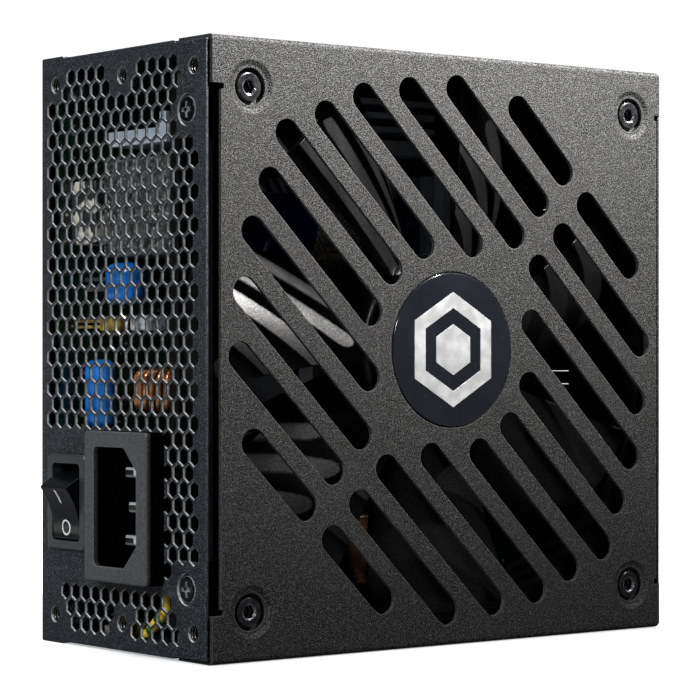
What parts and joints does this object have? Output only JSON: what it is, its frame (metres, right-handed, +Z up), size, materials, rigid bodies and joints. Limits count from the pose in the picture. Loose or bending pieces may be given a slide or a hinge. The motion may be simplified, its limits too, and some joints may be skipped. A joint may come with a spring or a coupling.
{
  "type": "power supply unit",
  "caption": "Compact computer power supply: steel case with slotted fan cover, honeycomb vent, mains inlet, rocker switch and modular output sockets.",
  "frame": {"origin": "middle of the base face that the unit stands on", "axes": "-X towards the rear panel with the mains inlet, +X towards the output sockets, -Y towards the fan side, +Y towards the closed back wall, +Z up"},
  "size_m": [0.1293, 0.064, 0.125],
  "materials": {
    "tray_paint": "fine textured dark powder coat",
    "cover_paint": "fine textured grey-black powder coat",
    "badge_gloss": "glossy slate disc",
    "emblem_foil": "bright brushed foil",
    "screw_steel": "zinc-plated",
    "screw_black": "blackened",
    "fan_plastic": "satin black",
    "rotor_plastic": "satin black",
    "bearing_brass": "sintered",
    "steel": "bright",
    "copper_wire": "enamelled copper wire",
    "ferrite": "dark ferrite",
    "lead_sleeve": "black sleeve",
    "connector_white": "natural nylon",
    "inlet_plastic": "moulded black, fine texture",
    "switch_plastic": "satin black",
    "brass": "tinned brass",
    "board_green": "green solder mask",
    "film_blue": "blue epoxy",
    "earth_sleeve": "yellow sleeve with a green stripe",
    "bypass_case": "ochre and pale box cases",
    "sleeve_blue": "dark blue shrink sleeve",
    "can_aluminium": "bare can",
    "relay_case": "dark case patched with cream fixing glue",
    "black_epoxy": "black epoxy",
    "tape_yellow": "yellow polyester tape",
    "label_pale": "pale label",
    "heatsink_aluminium": "milled aluminium",
    "insulator": "black film",
    "socket_plastic": "black nylon",
    "glass_white": "white ceramic"
  },
  "bodies": {
    "housing": {"housing_tray": "tray_paint", "fan_cover": "cover_paint", "badge_disc": "badge_gloss", "badge_emblem": "emblem_foil", "fan_screws": "screw_black", "cover_screws": "screw_black", "fan_frame": "fan_plastic", "fan_bearing": "bearing_brass", "fan_stator": "copper_wire", "fan_lead": "lead_sleeve", "fan_connector": "connector_white", "inlet_body": "inlet_plastic", "inlet_pins": "steel", "filter_board": "board_green", "switch_body": "inlet_plastic", "switch_terminals": "brass", "main_board": "board_green", "board_standoffs": "brass", "board_screws": "screw_steel", "insulating_sheet": "insulator", "line_choke_core": "ferrite", "line_choke_winding": "copper_wire", "boost_choke_core": "ferrite", "boost_choke_winding": "copper_wire", "transformer_core": "ferrite", "transformer_winding": "tape_yellow", "parts_label": "label_pale", "bulk_capacitor": "sleeve_blue", "output_capacitors": "can_aluminium", "film_capacitor_1": "film_blue", "film_capacitor_2": "film_blue", "earth_lead": "earth_sleeve", "line_bypass_capacitors": "bypass_case", "relay": "relay_case", "surge_resistor": "black_epoxy", "fuse": "glass_white", "resonant_inductor": "ferrite", "standby_transformer": "tape_yellow", "bridge_rectifier": "black_epoxy", "control_board": "board_green", "upper_filter_board": "board_green", "boxed_choke": "black_epoxy", "input_heatsink": "heatsink_aluminium", "output_heatsink": "heatsink_aluminium", "power_transistors": "black_epoxy", "socket_board": "board_green", "main_socket_18": "socket_plastic", "main_socket_10": "socket_plastic", "power_socket_1": "socket_plastic", "power_socket_2": "socket_plastic", "power_socket_3": "socket_plastic", "power_socket_4": "socket_plastic", "drive_socket_1": "socket_plastic", "drive_socket_2": "socket_plastic", "drive_socket_3": "socket_plastic", "socket_terminals": "brass"},
    "fan": {"fan_rotor": "rotor_plastic", "fan_shaft": "steel", "fan_magnet": "ferrite"},
    "rocker": {"switch_rocker": "switch_plastic"}
  },
  "joints": [
    {"name": "fan_spin", "type": "hinge", "parent": "housing", "child": "fan", "pos_m": [0.0005, -0.0225, 0.0625], "axis": [0, -1, 0], "continuous": true},
    {"name": "switch_rock", "type": "hinge", "parent": "housing", "child": "rocker", "pos_m": [-0.0575, 0.0193, 0.0302], "axis": [0, 1, 0], "range_deg": [0, 34.4]}
  ]
}
